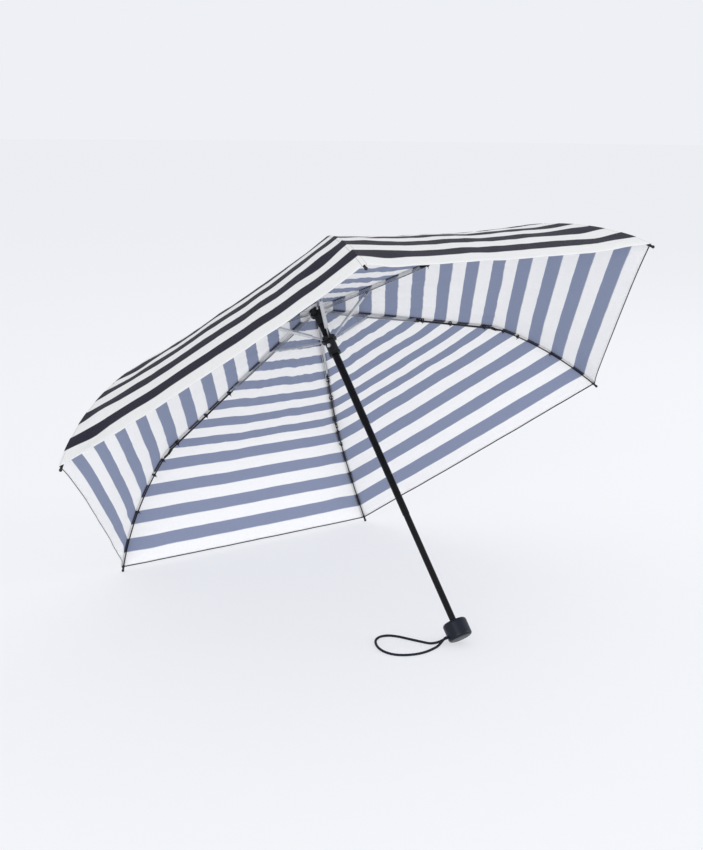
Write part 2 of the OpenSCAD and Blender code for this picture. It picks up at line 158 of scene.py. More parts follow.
class CanopySettings(bpy.types.PropertyGroup):
    gap: length_property("Gap", "Height of the cloth above the middle of a rib", CLOTH_GAP)
    thickness: length_property("Thickness", "Thickness of the cloth", 0.00035)
    sag: length_property("Sag", "How far the cloth hangs in between two ribs", 0.009)
    hem_curve: FloatProperty(name="Hem curve", description="Share by which the hem curves in",
                             default=0.008)
    hem_roll: length_property("Hem roll", "Radius of the rolled hem", 0.0008)
    stripe: length_property("Stripe", "Width of a stripe", 0.0205)
    ruffle: length_property("Ruffle", "Depth of the cloth's soft folds", 0.0030)
    crease: length_property("Crease", "Depth of the creases left by folding", 0.0004)
    closed_half: length_property("Closed half width", "Half width of the cloth on a folded rib", 0.0125)
    rows: IntProperty(name="Rows", description="Rows of faces along a panel", default=26)
    columns: IntProperty(name="Columns", description="Columns of faces from a rib to the middle",
                         default=20)
    patch: length_property("Patch", "Radius of the round patch on top", 0.017)
    strap_length: length_property("Closing strap", "Length of the closing strap", 0.092)
    strap_width: length_property("Closing strap width", "Width of the closing strap", 0.013)
    pale_out: colour_property("Pale outside", "Pale stripes, outer face", (0.75, 0.75, 0.74))
    dark_out: colour_property("Dark outside", "Dark stripes, outer face", (0.012, 0.011, 0.024))
    pale_in: colour_property("Pale inside", "Pale stripes, inner face", (0.94, 0.935, 0.93))
    dark_in: colour_property("Dark inside", "Dark stripes, inner face", (0.245, 0.282, 0.402))
    turned: colour_property("Turned edge", "Dark stripes on the seams' turned edges", (0.045, 0.048, 0.085))
    thread: colour_property("Thread", "Hem, ties and closing strap", (0.020, 0.021, 0.035))


class TieSettings(bpy.types.PropertyGroup):
    width: length_property("Width", "Width of a tie along its rib", 0.003)
    thickness: length_property("Thickness", "Thickness of the tape", 0.0003)
    half_height: length_property("Half height", "Half the height of a tie's loop", 0.0031)
    rise: length_property("Rise", "Height of the loop's middle above the rib's middle", 0.0012)
    knot: length_property("Knot", "Radius of the knot", 0.0012)
    tail: length_property("Tail", "Length of the thread ends below the knot", 0.0035)


class StrapSettings(bpy.types.PropertyGroup):
    diameter: length_property("Diameter", "Diameter of the wrist strap's cord", 0.0035)
    gap: length_property("Gap", "Distance between the two ends of the cord", 0.0038)
    turn: FloatProperty(name="Turn", description="Direction that the strap leaves in", subtype="ANGLE",
                        default=radians(152))
    colour: colour_property("Colour", "Braided cord", (0.006, 0.007, 0.014))


class FinishSettings(bpy.types.PropertyGroup):
    handle: colour_property("Handle", "Soft-touch plastic of the handle", (0.005, 0.007, 0.015))
    enamel: colour_property("Enamel", "Black enamel of shaft and ribs", (0.003, 0.003, 0.004))
    plastic: colour_property("Plastic", "Black moulded plastic", (0.010, 0.010, 0.012))
    silver: colour_property("Silver", "Drawn aluminium of ribs and stretchers", (0.60, 0.61, 0.63))
    steel: colour_property("Steel", "Wires and pins", (0.60, 0.61, 0.63))
    spring: colour_property("Spring", "Dark spring wires beside the middle ribs", (0.10, 0.10, 0.11))
    button: colour_property("Button", "Plated release button", (0.80, 0.81, 0.82))


class StageSettings(bpy.types.PropertyGroup):
    lens: FloatProperty(name="Lens", description="Focal length of the camera, in millimetres",
                        default=58.09)
    roll: FloatProperty(name="Roll", description="Turn of the camera about its view", subtype="ANGLE",
                        default=radians(0.49))
    camera: FloatVectorProperty(name="Camera", description="Place of the camera", subtype="XYZ",
                                unit="LENGTH", default=(-1.1791, -1.5682, 0.7200))
    aim: FloatVectorProperty(name="Aim", description="Point that the camera looks at", subtype="XYZ",
                             unit="LENGTH", default=(0.02063, 0.05878, 0.25419))
    floor_radius: length_property("Floor", "Radius of the flat floor", 14.0)
    lip_rise: length_property("Lip", "Rise of the floor's outer lip", 0.3)
    paper: colour_property("Paper", "Pale floor", (0.34, 0.34, 0.34))
    glow: colour_property("Glow", "Light that the floor gives off, which keeps its shadow soft",
                          (0.547, 0.557, 0.584))
    air: colour_property("Air", "Colour of the even light from all round", (0.855, 0.871, 0.913))
    sky: FloatProperty(name="Sky", description="Strength of the even light from all round", default=1.0)


# ---- node tools ----
def set_value(socket, value):
    """Links a socket to another, or sets its constant."""
    if isinstance(value, bpy.types.NodeSocket):
        socket.id_data.links.new(value, socket)
    elif hasattr(value, "__len__") and len(value) == 3 and socket.type == "RGBA":
        socket.default_value = (*value, 1.0)
    else:
        socket.default_value = value


def add_node(tree, kind, inputs=(), **settings):
    node = tree.nodes.new(kind)
    for name, value in settings.items():
        setattr(node, name, value)
    for name, value in dict(inputs).items():
        set_value(node.inputs[name], value)
    return node


def maths(tree, operation, a, b=0.0, c=0.0, clamp=False):
    node = add_node(tree, "ShaderNodeMath", {0: a, 1: b, 2: c}, operation=operation, use_clamp=clamp)
    return node.outputs[0]


def mix_colour(tree, factor, a, b, blend="MIX"):
    node = add_node(tree, "ShaderNodeMix", data_type="RGBA", blend_type=blend)
    set_value(node.inputs[0], factor)
    set_value(node.inputs[6], a)
    set_value(node.inputs[7], b)
    return node.outputs[2]


def fade(tree, value, low, high):
    """0 below low and 1 above high, smooth between."""
    node = add_node(tree, "ShaderNodeMapRange", {"Value": value, "From Min": low, "From Max": high},
                    interpolation_type="SMOOTHSTEP")
    return node.outputs[0]


def noise_value(tree, vector, scale, detail=2.0, roughness=0.5):
    node = add_node(tree, "ShaderNodeTexNoise",
                    {"Vector": vector, "Scale": scale, "Detail": detail, "Roughness": roughness})
    return node.outputs["Fac"]


def new_group(name, inputs, outputs):
    """A shader node group with its input node and output node. Inputs without a default are vectors."""
    group = bpy.data.node_groups.new(name, "ShaderNodeTree")
    for label, default in inputs.items():
        kind = "NodeSocketVector" if default is None else "NodeSocketFloat"
        socket = group.interface.new_socket(name=label, in_out="INPUT", socket_type=kind)
        if default is not None:
            socket.default_value = default
    for label in outputs:
        group.interface.new_socket(name=label, in_out="OUTPUT", socket_type="NodeSocketFloat")
    return group, group.nodes.new("NodeGroupInput"), group.nodes.new("NodeGroupOutput")


def make_stripes_group():
    """Stripes parallel to the hem, with edges that bleed into the threads, and a mask of the hem's edge."""
    inputs = {"Cut": None, "Width": 0.02, "Bleed": 0.0004, "Rim": 0.0}
    group, into, out = new_group("hem_stripes", inputs, ["Stripe", "Edge"])
    parts = add_node(group, "ShaderNodeSeparateXYZ", {0: into.outputs["Cut"]})
    jitter = noise_value(group, into.outputs["Cut"], 900.0)
    wander = noise_value(group, into.outputs["Cut"], 30.0)
    away = maths(group, "MULTIPLY_ADD", maths(group, "SUBTRACT", jitter, 0.5), into.outputs["Bleed"],
                 parts.outputs["Y"])
    away = maths(group, "MULTIPLY_ADD", maths(group, "SUBTRACT", wander, 0.5), 0.0012, away)
    bands = maths(group, "DIVIDE", away, maths(group, "MULTIPLY", into.outputs["Width"], 2.0))
    within = maths(group, "FRACT", bands)
    soft = maths(group, "DIVIDE", into.outputs["Bleed"], into.outputs["Width"])
    start = fade(group, within, maths(group, "SUBTRACT", 0.5, soft), maths(group, "ADD", 0.5, soft))
    end = fade(group, within, maths(group, "SUBTRACT", 1.0, soft), 1.0)
    stripe = maths(group, "SUBTRACT", start, end, clamp=True)
    set_value(out.inputs["Stripe"], maths(group, "MULTIPLY", stripe, fade(group, away, 0.0, 0.001)))
    rim = into.outputs["Rim"]
    within_rim = fade(group, parts.outputs["Y"], rim, maths(group, "ADD", rim, 0.0006))
    set_value(out.inputs["Edge"], maths(group, "SUBTRACT", 1.0, within_rim))
    return group


def make_weave_group():
    """A plain weave: threads that go over and under each other, as a height and a shade."""
    group, into, out = new_group("plain_weave", {"Cut": None, "Pitch": 0.0004}, ["Height", "Shade"])
    turns = maths(group, "DIVIDE", 2 * pi, into.outputs["Pitch"])
    parts = add_node(group, "ShaderNodeSeparateXYZ", {0: into.outputs["Cut"]})
    warp = maths(group, "SINE", maths(group, "MULTIPLY", parts.outputs["X"], turns))
    weft = maths(group, "SINE", maths(group, "MULTIPLY", parts.outputs["Y"], turns))
    slub = noise_value(group, into.outputs["Cut"], 220.0, 4.0, 0.6)
    set_value(out.inputs["Height"], maths(group, "MULTIPLY_ADD", warp, weft, slub))
    set_value(out.inputs["Shade"], maths(group, "MULTIPLY_ADD", slub, 0.10, 0.95))
    return group


def make_seam_group():
    """The doubled cloth of the seam along a rib: a mask, and its row of stitches."""
    group, into, out = new_group("rib_seam", {"Cut": None, "Width": 0.0055}, ["Double", "Stitch"])
    parts = add_node(group, "ShaderNodeSeparateXYZ", {0: into.outputs["Cut"]})
    across = parts.outputs["X"]
    width = into.outputs["Width"]
    beyond = fade(group, across, maths(group, "SUBTRACT", width, 0.0005), width)
    line = maths(group, "COMPARE", across, maths(group, "MULTIPLY", width, 0.7), 0.00035)
    stitches = maths(group, "FRACT", maths(group, "MULTIPLY", parts.outputs["Y"], 400.0))
    dash = maths(group, "GREATER_THAN", stitches, 0.3)
    set_value(out.inputs["Double"], maths(group, "SUBTRACT", 1.0, beyond))
    set_value(out.inputs["Stitch"], maths(group, "MULTIPLY", line, dash))
    return group


def make_grain_group():
    """Fine grain, soft smudges and thin scratches, for moulded and painted pieces."""
    inputs = {"Place": None, "Grain": 1500.0, "Smudge": 25.0}
    group, into, out = new_group("fine_grain", inputs, ["Height", "Smudges", "Scratches"])
    grain = noise_value(group, into.outputs["Place"], into.outputs["Grain"], 3.0, 0.6)
    smudges = noise_value(group, into.outputs["Place"], into.outputs["Smudge"], 5.0, 0.65)
    stretched = add_node(group, "ShaderNodeMapping", {
        "Vector": into.outputs["Place"], "Scale": (1.0, 9.0, 2.0), "Rotation": (0.7, 0.3, 0.5)})
    lines = noise_value(group, stretched.outputs[0], 160.0, 2.0, 0.4)
    set_value(out.inputs["Height"], grain)
    set_value(out.inputs["Smudges"], fade(group, smudges, 0.35, 0.75))
    set_value(out.inputs["Scratches"], fade(group, lines, 0.70, 0.78))
    return group


GROUP_MAKERS = {"hem_stripes": make_stripes_group, "plain_weave": make_weave_group,
                "rib_seam": make_seam_group, "fine_grain": make_grain_group}


def use_group(tree, name, inputs):
    """Places a node group in a material. The group is built when it is first used."""
    group = bpy.data.node_groups.get(name) or GROUP_MAKERS[name]()
    node = add_node(tree, "ShaderNodeGroup", node_tree=group)
    for socket, value in inputs.items():
        set_value(node.inputs[socket], value)
    return node


def new_material(name, **constants):
    """A material with a Principled shader whose constants are set on its own sockets."""
    material = bpy.data.materials.new(name)
    material.use_nodes = True
    shader = material.node_tree.nodes["Principled BSDF"]
    for socket, value in constants.items():
        set_value(shader.inputs[socket.replace("_", " ")], value)
    return material, material.node_tree, shader


def scaled(colour, times, plus=0.0):
    return tuple(min(1.0, c * times + plus) for c in colour)


def object_place(tree):
    return add_node(tree, "ShaderNodeTexCoord").outputs["Object"]


def paint(tree, shader, factor, a, b):
    """The base colour is a, and b where the factor is 1."""
    set_value(shader.inputs["Base Color"], mix_colour(tree, factor, a, b))


def bump(tree, shader, height, strength, distance):
    node = add_node(tree, "ShaderNodeBump", {"Height": height, "Strength": strength, "Distance": distance})
    set_value(shader.inputs["Normal"], node.outputs[0])


# ---- materials ----
INNER_EDGE = 0.0004         # the hem's dark edge ends this far above the hem on the inner face
OUTER_EDGE = -0.0022        # and this far round the roll on the outer one
PALE_THREAD = (0.8, 0.8, 0.8)


def printed_cloth(name, pale, dark, thread, stripe_width, turned=None):
    """Woven cloth with stripes parallel to the hem. Its map holds the distances to the seam and the hem.

    On the inner face, turned is the dark stripes' colour on the turned edges of the seam, which show the
    cloth's other face.
    """
    material, tree, shader = new_material(name, Roughness=0.68, Specular_IOR_Level=0.2)
    cut = add_node(tree, "ShaderNodeUVMap", uv_map="cut").outputs[0]
    rim = INNER_EDGE if turned else OUTER_EDGE
    stripes = use_group(tree, "hem_stripes",
                        {"Cut": cut, "Width": stripe_width, "Bleed": 0.0005, "Rim": rim})
    weave = use_group(tree, "plain_weave", {"Cut": cut, "Pitch": 0.0007})
    seam = use_group(tree, "rib_seam", {"Cut": cut, "Width": 0.0042})
    cloth = mix_colour(tree, stripes.outputs["Stripe"], pale, dark)
    cloth = mix_colour(tree, 1.0, cloth, weave.outputs["Shade"], "MULTIPLY")
    if turned:
        edges = mix_colour(tree, stripes.outputs["Stripe"], scaled(pale, 0.85), turned)
        cloth = mix_colour(tree, seam.outputs["Double"], cloth, edges)
    stitches = maths(tree, "MULTIPLY", seam.outputs["Stitch"], 0.5)
    cloth = mix_colour(tree, stitches, cloth, PALE_THREAD if turned else thread)
    paint(tree, shader, stripes.outputs["Edge"], cloth, thread)
    puckers = noise_value(tree, cut, 45.0, 3.0, 0.55)
    height = maths(tree, "MULTIPLY_ADD", weave.outputs["Height"], 0.12, puckers)
    bump(tree, shader, height, 0.35, 0.0012)
    return material


def webbing(name, colour, scale):
    """Plain dark tape or cord cover, woven in small diagonal ribs, on object coordinates."""
    material, tree, shader = new_material(name, Roughness=0.75, Specular_IOR_Level=0.2)
    place_of = object_place(tree)
    weave = use_group(tree, "plain_weave", {"Cut": place_of, "Pitch": scale})
    # painted shading: the threads' crests are painted lighter and the hollows between them stay darker, as
    # light and shade would fall on the weave
    crest_painted_light = fade(tree, weave.outputs["Height"], 0.2, 1.5)
    paint(tree, shader, crest_painted_light, colour, scaled(colour, 2.2, 0.01))
    bump(tree, shader, weave.outputs["Height"], 0.5, 0.0002)
    return material


def braided_cord(name, colour):
    """A round braid: two sets of strands that wind round the cord in opposite ways."""
    material, tree, shader = new_material(name, Roughness=0.7, Specular_IOR_Level=0.2)
    around = add_node(tree, "ShaderNodeUVMap", uv_map="cut").outputs[0]
    parts = add_node(tree, "ShaderNodeSeparateXYZ", {0: around})
    turn = maths(tree, "MULTIPLY", parts.outputs["X"], 2 * pi * 4)
    run = maths(tree, "MULTIPLY", parts.outputs["Y"], 2 * pi / 0.0022)
    one = maths(tree, "SINE", maths(tree, "ADD", turn, run))
    other = maths(tree, "SINE", maths(tree, "SUBTRACT", turn, run))
    strands = maths(tree, "MAXIMUM", one, other)
    fuzz = noise_value(tree, around, 700.0, 2.0)
    height = maths(tree, "MULTIPLY_ADD", fuzz, 0.5, strands)
    # painted shading: the strands' crests are painted lighter and the grooves between them darker, as light
    # and shade would fall on the braid
    paint(tree, shader, fade(tree, height, 0.2, 1.3), colour, scaled(colour, 2.0, 0.006))
    bump(tree, shader, height, 0.6, 0.0003)
    return material


def grained(name, colour, roughness, depth, metallic=0.0, grain=1500.0, wear=0.15, gloss=0.5):
    """Moulded, painted or metal finish with fine grain, smudges and light scratches."""
    material, tree, shader = new_material(name, Metallic=metallic, Specular_IOR_Level=gloss)
    place_of = object_place(tree)
    marks = use_group(tree, "fine_grain", {"Place": place_of, "Grain": grain, "Smudge": 28.0})
    lighter = scaled(colour, 1.4, 0.003)
    worn = maths(tree, "MULTIPLY", marks.outputs["Scratches"], wear)
    smudged = mix_colour(tree, maths(tree, "MULTIPLY", marks.outputs["Smudges"], 0.35), colour, lighter)
    paint(tree, shader, worn, smudged, lighter)
    rough = maths(tree, "MULTIPLY_ADD", marks.outputs["Smudges"], 0.10, roughness)
    rough = maths(tree, "MULTIPLY_ADD", worn, 0.2, rough)
    set_value(shader.inputs["Roughness"], rough)
    bump(tree, shader, marks.outputs["Height"], 0.4, depth)
    return material


def plated_button(name, colour, centre):
    """Plated metal with the fine rings that turning leaves, centred on the button."""
    material, tree, shader = new_material(name, Metallic=1.0)
    place_of = object_place(tree)
    centred = add_node(tree, "ShaderNodeMapping",
                       {"Vector": place_of, "Location": tuple(-c for c in centre)})
    away = add_node(tree, "ShaderNodeVectorMath", {0: centred.outputs[0]}, operation="LENGTH")
    rings = maths(tree, "SINE", maths(tree, "MULTIPLY", away.outputs["Value"], 2 * pi / 0.00035))
    smudges = noise_value(tree, place_of, 300.0, 4.0)
    paint(tree, shader, fade(tree, smudges, 0.3, 0.8), colour, scaled(colour, 0.85))
    set_value(shader.inputs["Roughness"], maths(tree, "MULTIPLY_ADD", smudges, 0.15, 0.14))
    bump(tree, shader, rings, 0.15, 0.00005)
    return material


def studio_paper(name, colour, glow):
    """Pale paper with faint fibres, which gives off some light of its own."""
    material, tree, shader = new_material(name, Roughness=0.95, Specular_IOR_Level=0.0,
                                          Emission_Strength=1.0, Emission_Color=glow)
    fibres = noise_value(tree, object_place(tree), 40.0, 4.0)
    paint(tree, shader, fibres, colour, scaled(colour, 0.985))
    return material


# ---- mesh tools ----
def add_object(name, data):
    piece = bpy.data.objects.new(name, data)
    bpy.context.scene.collection.objects.link(piece)
    return piece


def finish_mesh(bm, name, materials, smooth=True):
    """Makes an object at the origin from a bmesh, with its materials and smooth faces.

    Open borders are marked sharp, so that the rims don't shade the cloth beside them.
    """
    mesh = bpy.data.meshes.new(name)
    for face in bm.faces:
        face.smooth = smooth
    for edge in bm.edges:
        edge.smooth = not edge.is_boundary
    bm.to_mesh(mesh)
    bm.free()
    for material in materials:
        mesh.materials.append(material)
    return add_object(name, mesh)


def thicken(piece, thickness, offset, **settings):
    """Gives a sheet its thickness. The offset is 1 to add it all on the outer side, 0 on both."""
    modifier = piece.modifiers.new("solidify", "SOLIDIFY")
    modifier.thickness = thickness
    modifier.offset = offset
    for name, value in settings.items():
        setattr(modifier, name, value)


def face_towards(bm, direction):
    """Turns the faces of a sheet over if, taken together, they point against the direction."""
    bm.normal_update()
    if sum((face.normal * face.calc_area() for face in bm.faces), Vector()).dot(direction) < 0:
        bmesh.ops.reverse_faces(bm, faces=bm.faces)


def turned_to(direction, where, axis="Z"):
    """The transform that puts a shape at a place, with its axis along a direction."""
    return Matrix.Translation(where) @ direction.to_track_quat(axis, "Y").to_matrix().to_4x4()


def spline_point(a, b, c, d, t):
    bend = (2 * a - 5 * b + 4 * c - d) * t * t + (3 * b - a - 3 * c + d) * t ** 3
    return 0.5 * (2 * b + (c - a) * t + bend)


def smooth_route(points, steps):
    """A smooth line through the points."""
    last = len(points) - 1
    near = [points[0], *points, points[last]]
    line = [spline_point(*near[i:i + 4], s / steps) for i in range(last) for s in range(steps)]
    return line + [points[last]]


def sweep(bm, line, radius, sides):
    """A round tube along a line. Its map holds the share around and the distance along."""
    uv = bm.loops.layers.uv.new("cut")
    rings = []
    run = 0.0
    where = {}
    normal = Vector((0, 0, 1))
    for i, point in enumerate(line):
        ahead = (line[min(i + 1, len(line) - 1)] - line[max(i - 1, 0)]).normalized()
        side = ahead.cross(normal).normalized()
        normal = side.cross(ahead)
        turn = Matrix((side, normal, ahead)).transposed().to_4x4()
        turn = Matrix.Translation(point) @ turn
        made = bmesh.ops.create_circle(bm, segments=sides, radius=radius, matrix=turn)
        run += (point - line[i - 1]).length if i else 0.0
        for k, vert in enumerate(made["verts"]):
            where[vert] = (k, run)
        rings.append(made["verts"])
    for one, two in zip(rings, rings[1:]):
        both = one + two
        edges = {edge for vert in both for edge in vert.link_edges if edge.other_vert(vert) in both}
        bmesh.ops.bridge_loops(bm, edges=[edge for edge in edges if len(edge.link_faces) < 2])
    for ring in (rings[0], rings[-1]):
        bmesh.ops.contextual_create(bm, geom=ring)
    bmesh.ops.recalc_face_normals(bm, faces=bm.faces)
    for face in bm.faces:
        steps = [where[loop.vert][0] for loop in face.loops]
        wraps = max(steps) - min(steps) > sides / 2
        for loop in face.loops:
            step, distance = where[loop.vert]
            loop[uv].uv = ((step + sides if wraps and step < sides / 2 else step) / sides, distance)


# ---- the cloth's shape ----
def share(u, low, high):
    return (u - low) / (high - low)


def rib_line(u, lift):
    """A point of the cloth over a rib, in the rib's plane, lift above the rib's middle."""
    if u < HUB_SHARE:
        start = Vector((HUB_R, HUB_RISE + lift))
        end = PIVOT + along(TOP_SLOPE, HUB_RUN, lift + HUB_EXTRA)
        return start.lerp(end, share(u, 0, HUB_SHARE))
    if u < TOP_SHARE:
        run = share(u, HUB_SHARE, TOP_SHARE)
        return PIVOT + along(TOP_SLOPE, HUB_RUN + run * (TOP_LEN - HUB_RUN), lift + HUB_EXTRA * (1 - run))
    if u < MID_SHARE:
        return HINGE_1 + along(MID_SLOPE, share(u, TOP_SHARE, MID_SHARE) * MID_LEN, lift - HINGE_RISE)
    turn = TIP_TURN * (TIP_SHARE * share(u, MID_SHARE, 1) - 0.5) + TIP_SLOPE
    return BOW_CENTRE + (BOW_R + lift) * Vector((sin(turn), cos(turn)))


def hill(value, middle, width):
    """1 at the middle, falling smoothly to nothing on both sides."""
    return exp(-((value - middle) / width) ** 2)


SLACK_SHARE = 0.12          # the cloth is taut at the hub and slack from this share on
CREASE_SHARE = 0.007        # half width of a crease across a gore, as a share of the rib
CREASE_WIDTH = 0.012        # half width of the crease down the middle, as a share of the hem


def ruffle(gore, u, v, canopy):
    """Soft folds of the cloth in between two ribs, and the creases that folding leaves.

    Each kind of fold is a noise of its own, which starts elsewhere in every gore.
    """
    slack = (1 - v ** 4) * min(1.0, u / SLACK_SHARE)
    broad = noise.noise(Vector((gore * 9.1, u * 4.0, v * 2.2)))
    waves = noise.noise(Vector((gore * 5.3 + 40, u * 6.0, v * 7.0)))
    fine = noise.noise(Vector((gore * 3.7 + 80, u * 22.0, v * 9.0)))
    puckers = noise.noise(Vector((gore * 7.7 + 20 + copysign(5, v), u * 13.0, 0)))
    wave_depth = 0.35 + 0.35 * hill(u, 0.28, 0.2)
    pucker_depth = 5.0 * hill(abs(v), 0.84, 0.12) * u * u
    folds = 0.6 * broad + wave_depth * waves + 0.12 * fine + pucker_depth * puckers
    middle = exp(-abs(v) * u / CREASE_WIDTH)
    across = exp(-abs(u - TOP_SHARE) / CREASE_SHARE) - 0.8 * exp(-abs(u - MID_SHARE) / CREASE_SHARE)
    return slack * (canopy.ruffle * folds + canopy.crease * (across - 0.2 * middle))


def cloth_point(gore, u, v, lift, canopy):
    """A point of the cloth in the middle-line frame of a gore: v is -1 and 1 at its two ribs.

    The cloth hangs in most near the hem, and stays flat beside the ribs.
    """
    across = 1 - abs(v) ** 3.5
    inward = canopy.hem_curve * u * u * (1 - v ** 4)
    at = rib_line(u - inward, lift + ruffle(gore, u, v, canopy))
    slope = TOP_SLOPE if u < MID_SHARE else TIP_SLOPE
    hang = canopy.sag * u ** 1.3 * across
    return Vector(((at.x - hang * sin(slope)) * cos(GORE), at.x * sin(GORE) * v, at.y - hang * cos(slope)))


def arc_table(line):
    """Distance from the hub along a rib, for each share."""
    total = [0.0]
    for p, q in zip(line, line[1:]):
        total.append(total[-1] + (q - p).length)
    return total


TABLE_STEPS = 200
RIB_TABLE = [rib_line(i / TABLE_STEPS, CLOTH_GAP) for i in range(TABLE_STEPS + 1)]
ARC = arc_table(RIB_TABLE)
REACH = [point.x for point in RIB_TABLE]
OUTER_RUN = ARC[-1] - ARC[int(MID_SHARE * TABLE_STEPS)]
SHARE_PER_METRE = (1 - MID_SHARE) / OUTER_RUN       # along an outer rib


def hem_distance(u):
    """Distance from the hem, square to it, at a share of the rib."""
    place_in = max(0.0, min(1.0, u)) * TABLE_STEPS
    low = min(int(place_in), TABLE_STEPS - 1)
    run = ARC[low] + (ARC[low + 1] - ARC[low]) * (place_in - low)
    return (ARC[-1] - run) * SQUARE_TO_HEM


def share_at(reach):
    """The share at which a rib is this far from the shaft."""
    low = min(bisect_right(REACH, reach) - 1, TABLE_STEPS - 1)
    return (low + (reach - REACH[low]) / (REACH[low + 1] - REACH[low])) / TABLE_STEPS


def share_on_fold(u, near):
    """The share of a point on a fold that crosses the cloth square to its rib, at share u of the rib.

    near is 1 at the rib and 0 in the middle of the gore.
    """
    if u in (0.0, 1.0):
        return u
    return share_at(rib_line(u, CLOTH_GAP).x / (1 - (1 - near) * sin(GORE) ** 2))


def panel_width(segment):
    """From the rib square across to the middle of the gore, where the panel is widest."""
    return rib_line(share_on_fold(SEGMENTS[segment][1], 0.0), CLOTH_GAP).x * sin(GORE) * cos(GORE)


def gore_of(rib, side):
    """The number of the gore on one side of a rib, which its two ribs share."""
    return rib - 1 if side > 0 else (rib - 2) % len(RIBS)


def fold_with_rib(piece, rib, side, segment, canopy):
    """The piece rides on its rib, with a mesh of its own.

    The step square to the rib, from its middle towards the panel's far corner in the middle of the gore, is
    worked out but not used.
    """
    low, high = SEGMENTS[segment]
    slope = SEGMENT_SLOPE[segment]
    middle = rib_line((low + high) / 2, canopy.gap)
    anchor = place(turn_of(rib), middle.x, 0, middle.y)
    ahead = outward(turn_of(rib)) * cos(slope) - UP * sin(slope)
    corner = cloth_point(gore_of(rib, side), share_on_fold(high, 0.0), 0.0, canopy.gap, canopy)
    step = place(turn_of(rib) + side * GORE, *corner) - anchor
    step -= ahead * ahead.dot(step)
    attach(piece, f"{segment}_rib_{rib}")
    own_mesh(piece)


ROLL_STEPS = 8              # steps in a full turn of the hem's roll, the last of which stays open
ROLL_STEP = 0.0006          # cloth in one of them
COLUMN_CROWDING = 1.3       # more than 1 puts the columns of faces closer together beside the rib
FULLNESS = 1.02             # width of the flat cloth over its width on the ribs


def panel_rows(segment, canopy):
    """The rows of a panel: how far along it each is, what the hem's roll adds to the share, and the lift.

    The rolled hem comes after the last row of an outer panel.
    """
    rows = [(i / canopy.rows, 0.0, canopy.gap) for i in range(canopy.rows + 1)]
    if segment == "outer":
        roll = canopy.hem_roll * SHARE_PER_METRE
        turns = [2 * pi * k / ROLL_STEPS for k in range(1, ROLL_STEPS)]
        rows += [(1.0, roll * sin(a), canopy.gap - canopy.hem_roll * (1 - cos(a))) for a in turns]
    return rows


def build_panel(rib, side_name, segment, canopy, materials):
    """Half of a gore beside a rib, over one of the rib's three parts."""
    side = SIDES[side_name]
    rows = panel_rows(segment, canopy)
    gore = gore_of(rib, side)
    turn = turn_of(rib) + side * GORE
    bm = bmesh.new()
    uv = bm.loops.layers.uv.new("cut")
    bmesh.ops.create_grid(bm, x_segments=canopy.columns, y_segments=len(rows) - 1, size=1.0)
    cut = {}
    for vert in bm.verts:
        near = 1 - (1 - (vert.co.x + 1) / 2) ** COLUMN_CROWDING
        row = round((vert.co.y + 1) / 2 * (len(rows) - 1))
        along_panel, rolled, lift = rows[row]
        start, end = (share_on_fold(u, near) for u in SEGMENTS[segment])
        u = start + (end - start) * along_panel + rolled
        local = cloth_point(gore, u, -side * near, lift, canopy)
        seam = (1 - near) * rib_line(u, lift).x * sin(GORE) * cos(GORE)
        hem = -ROLL_STEP * (row - canopy.rows) if row > canopy.rows else hem_distance(u)
        cut[vert] = (seam, hem)
        vert.co = place(turn, *local)
    for face in bm.faces:
        for loop in face.loops:
            loop[uv].uv = cut[loop.vert]
    face_towards(bm, UP)
    area = sum(face.calc_area() for face in bm.faces)
    piece = finish_mesh(bm, f"cloth_{segment}_{rib}_{side_name}", materials)
    thicken(piece, canopy.thickness, 0.0, material_offset=1)
    fold_with_rib(piece, rib, side, segment, canopy)
    panel_width(segment) * FULLNESS
    return piece


# ---- ties, hub patch and closing strap ----
# Along each part of a rib: the ties' distances from its hinge, and half the width of what they go round.
TIE_PLACES = {"middle": (0.012, 0.065, 0.132), "outer": (0.012, 0.040, 0.105)}
TIE_HALF_WIDTH = {"middle": 0.0032, "outer": 0.0024}
TAIL_RADII = (0.0005, 0.0003)   # of a thread end, at the knot and at its tip

PATCH_LIFT = 0.0007         # of the hub patch, over the cloth
PATCH_THICKNESS = 0.0005

# The closing strap: the panel that it is sewn on, the distance of its middle line from the hem, its first
# end's distance from the middle of the gore, its height over the cloth and its thickness.
BAND_RIB = 3
BAND_SIDE = "right"
BAND_HEM = 0.020
BAND_START = 0.004
BAND_LIFT = 0.0010
BAND_THICKNESS = 0.0007
STUD_FROM_END = 0.010
STUD_LIFT = 0.0021
STUD_STEPS = ((0.0048, 0.0008), (0.0030, 0.0016))   # radius and depth of its base and of its knob
STUD_TAPER = 0.85


def rib_place(rib, segment, run, above):
    """A point of a rib's middle or outer part, a run past its hinge, and the rib's direction there."""
    if segment == "middle":
        slope = MID_SLOPE
        at = HINGE_1 + along(slope, run, above - HINGE_RISE)
    else:
        slope = TIP_SLOPE + TIP_TURN * (run / (BOW_R * TIP_TURN) - 0.5)
        at = BOW_CENTRE + (BOW_R + above) * Vector((sin(slope), cos(slope)))
    out = outward(turn_of(rib))
    return place(turn_of(rib), at.x, 0, at.y), out * cos(slope) - UP * sin(slope)


